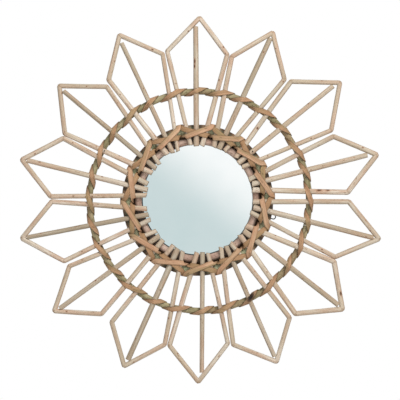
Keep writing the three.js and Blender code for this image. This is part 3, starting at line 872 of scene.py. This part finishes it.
def makeSpoke(index):
    values = spokeRods
    corners = petalCorners(index)
    picks = random.Random(values["seed"] + index)
    vary = picks.uniform(*values["endVary"])
    spare = values["spare"]
    foot = onWall(index, corners["foot"] - corners["run"] * vary)
    point = onWall(index, corners["point"] + corners["run"] * spare)
    ends = [Vector((foot.x, -values["depth"], foot.y)), Vector((point.x, -values["depth"], point.y))]
    path = makePath(ends, [front, front])
    length = path["length"]
    bm = straightRod(length, values["buttRadius"], values["sides"], values["step"], values["rim"])
    keepStraight(bm, (values["pattern"] + index) * patternGap, values["tones"][index])
    wear = values["wear"] + index
    roughenRod(bm, values, length - spare, wear, values["knots"][index + 1])
    thinner = values["tipRadius"] / values["buttRadius"] - 1.0
    for vert in bm.verts:
        slim = 1.0 + thinner * vert.co.z / length
        vert.co.x *= slim * values["girths"][index]
        vert.co.y *= slim
    # local x points to the viewer's left of the run, the cuts count to the right
    slices = [(start / closing, slope, closing) for start, slope, closing in corners["cuts"]]
    ridge = min(place for place, slope, closing in slices)
    blunted = ridge - picks.uniform(*values["blunt"])
    slices.append((blunted, picks.uniform(-values["bluntSlope"], values["bluntSlope"]), 1.0))
    for place, slope, closing in slices:
        side = Vector((slope, 0.0, closing)).normalized()
        middle = (0.0, 0.0, place + vary)
        whole = bm.verts[:] + bm.edges[:] + bm.faces[:]
        sliced = bmesh.ops.bisect_plane(bm, geom=whole, plane_co=middle, plane_no=side, clear_outer=True)
        rim = [g for g in sliced["geom_cut"] if isinstance(g, bmesh.types.BMEdge)]
        bmesh.ops.holes_fill(bm, edges=rim, sides=0)
    slantEnds(bm, values, length, picks, False)
    crookRod(bm, values, wear)
    bendAlong(bm, path)
    number = f"{index + 1:02d}"
    finishPiece(bm, "spokeRod" + number, willowFinish, ["spoke_" + number], 0.9)


for petalIndex in range(petalRods["count"]):
    makePetal(petalIndex)
    makeSpoke(petalIndex)
print("petals bent:", petalRods["count"])

trioLines = []
for petalIndex in range(petalRods["count"]):
    petalPoints = petalCorners(petalIndex)
    trioFoot = onWall(petalIndex, petalPoints["foot"])
    trioRun = onWall(petalIndex, petalPoints["point"]) - trioFoot
    trioLines.append((trioFoot, trioRun.normalized()))

makeHoop(hubHoop, "hubHoopBark", "hub_hoop", greenFinish)
makeHoop(outerHoop, "outerHoopBark", "outer_hoop", oliveFinish)
makeHoop(glassRing, "glassRingWood", "glass_ring", brownFinish)
print("hoops bent")


# strips of bark lash the rods to the hoops
stripStock = {
    "thickness": 0.0010,
    "step": 0.0013,
    "lanes": 8,
    "clearance": 0.00035,
    "cup": 0.0002,
    "ragged": 0.12,
    "thinEdge": 0.35,
    "gap": 0.0003,
    "layerStep": 0.0015,
    "foot": 0.35,  # how far behind the hoop's middle a strip goes round its edge
    "backShare": 0.25,
    "backInset": 0.4,
    "pathStep": 0.0012,
}
hubLash = {
    "under": {"edge": 1, "layer": 0, "seed": 11, "width": 0.0084, "brown": 0.75},
    "over": {"edge": -1, "layer": 1, "seed": 12, "width": 0.0086, "brown": 0.1},
}
hubPull = {
    "outer": 0.0034,
    "inner": 0.0008,
    "innerShift": 0.0020,
    "overRod": 0.0042,
    "lead": 0.0012,
    "lip": 0.0004,
    "lipInset": 0.0006,
    "dip": 0.0022,
    "settle": 0.6,
}
outerLash = {
    "layer": 0.1,
    "seed": 13,
    "width": 0.0080,
    "brown": 0.45,
    "beside": 0.00355,  # from a rod to where the strip goes round the hoop
    "pairRun": 0.0036,
    "spokeRun": 0.0060,
    "lead": 0.0020,
    "lip": 0.75,
    "lipInset": 0.0008,
    "flank": 0.0006,
    "dip": 0.75,
}
stripRise = stripStock["clearance"] + stripStock["thickness"] / 2
petalFront = petalRods["depth"] + petalRods["radius"]
spokeFront = spokeRods["depth"] + spokeRods["buttRadius"]


def crossAngle(index, side, hoop, reach):
    index = index % petalRods["count"]
    corners = petalCorners(index)
    line = [corners["foot"], corners["point"]]
    if side:
        line = corners["left" if side < 0 else "right"]
    centre = Vector(hoop["centre"])
    spots = [onWall(index, spot) - centre for spot in line]
    for start, end in zip(spots, spots[1:]):
        if end.length > reach:
            break
    run = end - start
    half = start.dot(run) / run.length_squared
    rest = (start.length_squared - reach * reach) / run.length_squared
    hit = start + run * (-half + math.sqrt(half * half - rest))
    return math.degrees(math.atan2(hit.x, hit.y))


def unwind(degrees, nearTo):
    return degrees + 360.0 * round((nearTo - degrees) / 360.0)


def station(degrees, reach, depth, outward, forward, onward=0.0):
    return {"degrees": degrees, "reach": reach, "depth": depth, "facing": (outward, forward, onward)}


def backStations(hoop, behind, before, after):
    step = (after["degrees"] - before["degrees"]) * stripStock["backShare"]
    stations = []
    for end, turn in ((before, step), (after, -step)):
        inset = (hoop["radius"] - end["reach"]) * stripStock["backInset"]
        stations.append(station(end["degrees"] + turn, end["reach"] + inset, behind, 0.0, -1.0))
    return stations


def wrapGrow(layer):
    return stripStock["gap"] + stripStock["thickness"] / 2 + layer * stripStock["layerStep"]


def footDepth(hoop):
    return hoop["depth"] - hoop["halfThickness"] * stripStock["foot"]


def chordReach(fromDegrees, fromReach, toDegrees, toReach, degrees):
    before = math.radians(degrees - fromDegrees)
    after = math.radians(toDegrees - degrees)
    across = fromReach * math.sin(before) + toReach * math.sin(after)
    return fromReach * toReach * math.sin(before + after) / across


def hubPass(index, lash):
    edge = lash["edge"]
    grow = wrapGrow(lash["layer"])
    near = hubHoop["radius"] + edge * (hubHoop["halfWidth"] + grow)
    far = hubHoop["radius"] - edge * (hubHoop["halfWidth"] + grow)
    pitch = 360.0 / petalRods["count"]

    def rodAt(step, side, reach):
        return unwind(crossAngle(index + step, side, hubHoop, reach), (index + step) * pitch)

    def inward(reach):
        return math.degrees(hubPull["innerShift"] / reach) if reach < hubHoop["radius"] else 0.0

    begin = (rodAt(-1, 1, near) + rodAt(0, -1, near)) / 2 + inward(near)
    finish = (rodAt(0, 1, far) + rodAt(1, -1, far)) / 2 - inward(far)
    overFrom = rodAt(0, -1, near) - math.degrees(hubPull["overRod"] / near)
    overTo = rodAt(0, 1, far) + math.degrees(hubPull["overRod"] / far)
    pulls = ("outer", "inner") if edge > 0 else ("inner", "outer")
    reachFrom = chordReach(begin, near, finish, far, overFrom) - hubPull[pulls[0]]
    reachTo = chordReach(begin, near, finish, far, overTo) - hubPull[pulls[1]]

    def reachAt(degrees):
        return chordReach(overFrom, reachFrom, overTo, reachTo, degrees)

    start = rodAt(0, -1, reachFrom)
    middle = rodAt(0, 0, (reachFrom + reachTo) / 2)
    end = rodAt(0, 1, reachTo)
    foot = footDepth(hubHoop)
    lift = lash["layer"] * stripStock["layerStep"]
    lip = hubHoop["depth"] + hubHoop["halfThickness"] + hubPull["lip"] + lift
    inset = edge * hubPull["lipInset"]
    lead = math.degrees(hubPull["lead"] / hubHoop["radius"])
    down = petalFront + stripRise - hubPull["dip"] + lift
    top = petalFront + stripRise + lift * hubPull["settle"]
    return [
        station(begin - lead, near, foot, edge, 0.0),
        station(begin + lead, near - inset, lip, edge * 0.8, 0.55),
        station(overFrom, reachFrom, down, edge * 0.15, 0.95, -0.3),
        station(start, reachAt(start), top, 0.0, 1.0, -0.1),
        station(middle, reachAt(middle), spokeFront + stripRise + lift, 0.0, 1.0),
        station(end, reachAt(end), top, 0.0, 1.0, 0.1),
        station(overTo, reachTo, down, -edge * 0.15, 0.95, 0.3),
        station(finish - lead, far + inset, lip, -edge * 0.8, 0.55),
        station(finish + lead, far, foot, -edge, 0.0),
    ]


def outerPass(rods, rodRadius, frontDepth, run, nearTo):
    values = outerLash
    grow = wrapGrow(values["layer"])
    near = outerHoop["radius"] - outerHoop["halfWidth"] - grow
    far = outerHoop["radius"] + outerHoop["halfWidth"] + grow
    beside = rodRadius + values["beside"] + run
    start = unwind(crossAngle(*rods[0], outerHoop, near), nearTo)
    end = unwind(crossAngle(*rods[1], outerHoop, far), start)
    begin = start - math.degrees(beside / near)
    finish = end + math.degrees(beside / far)

    def reachAt(degrees):
        return near + (far - near) * (degrees - begin) / (finish - begin)

    foot = footDepth(outerHoop)
    lead = math.degrees(values["lead"] / near)
    flank = math.degrees((rodRadius + values["flank"]) / near)
    top = frontDepth + stripRise
    down = top - rodRadius * values["dip"]
    lip = outerHoop["depth"] + outerHoop["halfThickness"] * values["lip"]
    stations = [
        station(begin - lead, near, foot, -1.0, 0.1),
        station(begin + lead * 0.6, near + values["lipInset"], lip, -0.75, 0.65),
        station(start - flank, reachAt(start - flank), down, -0.25, 0.9, -0.35),
        station(start, reachAt(start), top, 0.0, 1.0),
    ]
    if rods[0] != rods[1]:
        stations.append(station(end, reachAt(end), top, 0.0, 1.0))
    stations += [
        station(end + flank, reachAt(end + flank), down, 0.25, 0.9, 0.35),
        station(finish - lead * 0.6, far - values["lipInset"], lip, 0.75, 0.65),
        station(finish + lead, far, foot, 1.0, 0.1),
    ]
    return stations


# a smooth curve through all the stations
def smoothStations(hoop, stations):
    places = []
    facings = []
    for spot in stations:
        turn = math.radians(spot["degrees"])
        outward, forward, onward = spot["facing"]
        places.append(polar(hoop["centre"], spot["degrees"], spot["reach"], spot["depth"]))
        across = Vector((math.sin(turn), 0.0, math.cos(turn))) * outward
        around = Vector((math.cos(turn), 0.0, -math.sin(turn))) * onward
        facings.append((across + around + front * forward).normalized())
    points = []
    turned = []
    last = len(places) - 1
    for i in range(last):
        earlier, start, end, later = [places[min(max(j, 0), last)] for j in range(i - 1, i + 3)]
        run = end - start
        span = run.length
        before = max((start - earlier).length, 1e-5)
        after = max((later - end).length, 1e-5)
        slopeIn = ((start - earlier) / before * span + run * (before / span)) / (before + span) * span
        slopeOut = (run * (after / span) + (later - end) / after * span) / (after + span) * span
        count = max(2, round(span / stripStock["pathStep"]))
        for k in range(count):
            t = k / count
            ends = start * (2 * t ** 3 - 3 * t ** 2 + 1) + end * (3 * t ** 2 - 2 * t ** 3)
            points.append(ends + slopeIn * (t ** 3 - 2 * t ** 2 + t) + slopeOut * (t ** 3 - t ** 2))
            turned.append(facings[i].lerp(facings[i + 1], t).normalized())
    points.append(places[-1])
    turned.append(facings[-1])
    return makePath(points, turned)


# whatever would stand out past the hoop's outer edge folds back round it
def foldBack(bm, hoop, grow):
    straight = bm.verts.layers.float_vector["straight"]
    centre = Vector(hoop["centre"])
    for vert in bm.verts:
        away = Vector((vert.co.x, vert.co.z)) - centre
        limit = hoop["radius"] + hoop["halfWidth"] + grow + vert[straight].y
        surplus = away.length - limit
        if surplus > 0.0:
            spot = centre + away.normalized() * limit
            side = 1.0 if -vert.co.y > hoop["depth"] else -1.0
            vert.co = Vector((spot.x, vert.co.y + side * surplus, spot.y))


def windStrip(hoop, passes, name, node, lash):
    grow = wrapGrow(lash["layer"])
    behind = hoop["depth"] - hoop["halfThickness"] - grow
    stations = []
    for one in passes:
        if stations:
            stations += backStations(hoop, behind, stations[-1], one[0])
        stations += one
    path = smoothStations(hoop, stations)
    print(name, "wound, length", round(path["length"], 3))
    values = stripStock
    width = lash["width"]
    bm = straightStrip(path["length"], width, values["thickness"], values["step"], values["lanes"])
    keepStraight(bm, lash["seed"] * patternGap)
    marks = bm.verts.layers.float_vector.new("marks")
    for vert in bm.verts:
        x, y, z = vert.co
        share = x / (width / 2)
        vert[marks] = Vector((0.0, share, lash["brown"]))
        vert.co.y -= values["cup"] * share * share
        vert.co.y *= 1.0 - values["thinEdge"] * abs(share) ** 3
        vert.co.x *= 1.0 + values["ragged"] * noise.noise(Vector((share * 2.0, lash["seed"], z * 90)))
    bendAlong(bm, path)
    foldBack(bm, hoop, grow)
    for vert in bm.verts:
        vert[marks].x = darkPatchShare(vert.co.x, vert.co.z)
    finishPiece(bm, name, stripFinish, [node], 0.9)


for word, lash in hubLash.items():
    lashPasses = [hubPass(i, lash) for i in range(petalRods["count"])]
    windStrip(hubHoop, lashPasses, "hubStrip" + word.capitalize(), "hub_strip_" + word, lash)

outerPasses = []
for petalIndex in range(petalRods["count"]):
    petalMiddle = 360.0 * petalIndex / petalRods["count"]
    pairMiddle = petalMiddle - 180.0 / petalRods["count"]
    pair = ((petalIndex - 1, 1), (petalIndex, -1))
    outerPasses.append(outerPass(pair, petalRods["radius"], petalFront, outerLash["pairRun"], pairMiddle))
    spoke = ((petalIndex, 0), (petalIndex, 0))
    spokeRun = outerLash["spokeRun"]
    outerPasses.append(outerPass(spoke, spokeRods["tipRadius"], spokeFront, spokeRun, petalMiddle))
windStrip(outerHoop, outerPasses, "outerStrip", "outer_strip", outerLash)
print("strips wound")


discs = {
    "glass": {"radius": 0.096, "back": 0.0033, "thickness": 0.003, "bevel": 0.0004},
    "board": {"radius": 0.112, "back": 0.0, "thickness": 0.003, "bevel": 0.0005},
    "segments": 160,
}
flatWithin = 1e-7


# round plate on the wall's plane, raised towards the viewer
def roundPlate(radius, thickness, segments):
    bm = bmesh.new()
    rim = bmesh.ops.create_circle(bm, cap_ends=True, segments=segments, radius=radius)["verts"]
    bmesh.ops.rotate(bm, verts=rim, cent=(0, 0, 0), matrix=Matrix.Rotation(math.radians(90.0), 3, "X"))
    raised = bmesh.ops.extrude_face_region(bm, geom=bm.faces[:])["geom"]
    lifted = [g for g in raised if isinstance(g, bmesh.types.BMVert)]
    bmesh.ops.translate(bm, verts=lifted, vec=(0.0, -thickness, 0.0))
    bmesh.ops.recalc_face_normals(bm, faces=bm.faces[:])
    return bm


def makeDisc(values, name, node, material):
    bm = roundPlate(values["radius"], values["thickness"], discs["segments"])
    bevelEdges(bm, [e for e in bm.edges if edgeSpan(e, 1) < flatWithin], values["bevel"], 2)
    bmesh.ops.translate(bm, verts=bm.verts, vec=(0.0, -values["back"], 0.0))
    finishPiece(bm, name, material, [node], 0.3)


makeDisc(discs["glass"], "mirrorGlass", "mirror_glass", mirrorFinish)
makeDisc(discs["board"], "backBoard", "back_board", boardFinish)

wireEye = {
    "degrees": 102.6,
    "innerReach": 0.109,
    "outerReach": 0.1274,
    "halfWidth": 0.0037,
    "neck": 0.7,
    "depth": 0.00525,
    "radius": 0.0009,
    "sides": 10,
    "step": 0.0008,
    "rim": 0.0002,
    "bendSteps": 24,
}


def makeEye():
    values = wireEye
    turn = math.radians(values["degrees"])
    across = Vector((math.cos(turn), 0.0, -math.sin(turn)))
    outward = Vector((math.sin(turn), 0.0, math.cos(turn)))
    neck = values["halfWidth"] * values["neck"]
    flat = [(-neck, values["innerReach"])]
    for i in range(values["bendSteps"] + 1):
        bend = math.pi * (1 - i / values["bendSteps"])
        reach = values["outerReach"] + values["halfWidth"] * math.sin(bend)
        flat.append((values["halfWidth"] * math.cos(bend), reach))
    flat.append((neck, values["innerReach"]))
    points = [across * x + outward * reach + front * values["depth"] for x, reach in flat]
    path = makePath(points, [front] * len(points))
    bm = straightRod(path["length"], values["radius"], values["sides"], values["step"], values["rim"])
    bendAlong(bm, path)
    finishPiece(bm, "wireEye", steelFinish, ["hanging_eye"])


makeEye()

nailHeads = {
    "radius": 0.0011,
    "height": 0.0007,
    "shank": 0.0045,
    "shankShare": 0.5,
    "dome": 0.6,
    "segments": 14,
    # place on the wall, depth of the head
    "places": [(0.0897, 0.0791, 0.0258), (-0.1522, 0.0799, 0.0261), (-0.1612, -0.0705, 0.0261)],
}


def makeNail(number, x, z, depth):
    values = nailHeads
    bm = roundPlate(values["radius"], values["height"], values["segments"])
    dome = [e for e in bm.edges if all(abs(v.co.y + values["height"]) < flatWithin for v in e.verts)]
    bevelEdges(bm, dome, values["height"] * values["dome"], 3)
    under = [f for f in bm.faces if abs(f.calc_center_median().y) < flatWithin]
    bmesh.ops.inset_region(bm, faces=under, thickness=values["radius"] * values["shankShare"])
    driven = bmesh.ops.extrude_face_region(bm, geom=under)["geom"]
    bmesh.ops.delete(bm, geom=under, context="FACES_KEEP_BOUNDARY")
    shank = [g for g in driven if isinstance(g, bmesh.types.BMVert)]
    bmesh.ops.translate(bm, verts=shank, vec=(0.0, values["shank"], 0.0))
    bmesh.ops.translate(bm, verts=bm.verts, vec=(x, -depth, z))
    finishPiece(bm, f"nailHead{number}", steelFinish)


for nailNumber, nailPlace in enumerate(nailHeads["places"], 1):
    makeNail(nailNumber, *nailPlace)
print("glass, board, eye and nails made")


# pale floor, soft light, white ground, and a bright card for the glass to reflect
studio = {
    "floorLevel": -0.62,
    "floorSize": 1.9,
    "floorColour": srgb(236, 235, 232),
    "floorLight": srgb(240, 239, 237),
    "ground": (1.0, 1.0, 1.0, 1.0),
    "sky": (0.97, 0.985, 1.0, 1.0),
    "ambient": 0.2,
    "gloss": 0.8,
    "cardDark": srgb(205, 219, 220),
    "cardLight": srgb(253, 254, 254),
    "cardSize": 0.7,
    "cardAway": 4.3,
    "cardAim": (0.62, 0.0, 0.78),  # the way in which the card grows lighter
    "cardFade": (-0.07, 0.19),
    "lamps": {
        "key": {"place": (0.8, -1.9, 1.8), "size": 1.2, "power": 50.0},
        "front": {"place": (0.1, -3.4, 0.4), "size": 4.4, "power": 51.0},
    },
}


def makeSheet(name, size, tilt, place, material):
    bm = bmesh.new()
    bmesh.ops.create_grid(bm, x_segments=4, y_segments=4, size=size)
    turn = Matrix.Rotation(math.radians(tilt), 3, "X")
    bmesh.ops.rotate(bm, verts=bm.verts, cent=(0, 0, 0), matrix=turn)
    bmesh.ops.translate(bm, verts=bm.verts, vec=place)
    mesh = bpy.data.meshes.new(name)
    bm.to_mesh(mesh)
    bm.free()
    mesh.materials.append(material)
    sheet = bpy.data.objects.new(name, mesh)
    scene.collection.objects.link(sheet)
    return sheet


def makeFloor():
    material, tree, shader = newMaterial("paleFloor", 0.2)
    soft = patches(tree, objectPlace(tree), (3.0, 3.0, 3.0), 3.0, 0.3, 0.7)
    colour = mixColour(tree, soft, studio["floorColour"], studio["floorLight"])
    tree.links.new(colour, shader.inputs["Base Color"])
    shader.inputs["Roughness"].default_value = 0.85
    floor = makeSheet("floor", studio["floorSize"], 0.0, (0.0, 0.0, studio["floorLevel"]), material)


def makeCard():
    material, tree, shader = newMaterial("brightCard")
    tree.nodes.remove(shader)
    spot = {0: objectPlace(tree), 1: studio["cardAim"]}
    along = addNode(tree, "ShaderNodeVectorMath", spot, operation="DOT_PRODUCT").outputs["Value"]
    fade = ramp(tree, along, *studio["cardFade"])
    colour = mixColour(tree, fade, studio["cardDark"], studio["cardLight"])
    glow = addNode(tree, "ShaderNodeEmission", {"Color": colour, "Strength": 1.0})
    tree.links.new(glow.outputs[0], tree.nodes["Material Output"].inputs["Surface"])
    card = makeSheet("card", studio["cardSize"], -90.0, (0.0, -studio["cardAway"], 0.0), material)
    card.visible_camera = False
    card.visible_diffuse = False
    card.visible_shadow = False


def makeWorld():
    world = bpy.data.worlds.new("studio")
    scene.world = world
    world.use_nodes = True
    tree = world.node_tree
    tree.nodes.clear()

    def backdrop(colour, strength):
        return addNode(tree, "ShaderNodeBackground", {"Color": colour, "Strength": strength}).outputs[0]

    def blend(share, first, second):
        return addNode(tree, "ShaderNodeMixShader", {0: share, 1: first, 2: second}).outputs[0]

    ray = addNode(tree, "ShaderNodeLightPath").outputs
    light = backdrop(studio["sky"], studio["ambient"])
    lit = blend(ray["Is Glossy Ray"], light, backdrop(studio["sky"], studio["gloss"]))
    both = blend(ray["Is Camera Ray"], lit, backdrop(studio["ground"], 1.0))
    addNode(tree, "ShaderNodeOutputWorld", {"Surface": both})


def makeLamp(name, values):
    light = bpy.data.lights.new(name, "AREA")
    light.shape = "DISK"
    light.size = values["size"]
    light.energy = values["power"]
    lamp = bpy.data.objects.new(name, light)
    lamp.location = values["place"]
    lamp.rotation_euler = (-Vector(values["place"])).to_track_quat("-Z", "Y").to_euler()
    lamp.visible_glossy = False  # keeps the lamps out of the glass
    scene.collection.objects.link(lamp)


makeFloor()
makeCard()
makeWorld()
for lampName, lampValues in studio["lamps"].items():
    makeLamp(lampName, lampValues)

viewpoint = {"place": (0.0039, -3.02, -0.0002), "frameWidth": 0.654, "distance": 3.0, "sensor": 36.0}
camera = bpy.data.cameras.new("camera")
camera.sensor_width = viewpoint["sensor"]
camera.lens = viewpoint["sensor"] * viewpoint["distance"] / viewpoint["frameWidth"]
cameraObject = bpy.data.objects.new("camera", camera)
cameraObject.location = viewpoint["place"]
cameraObject.rotation_euler = (math.radians(90.0), 0.0, 0.0)
scene.collection.objects.link(cameraObject)
scene.camera = cameraObject
print("studio set")
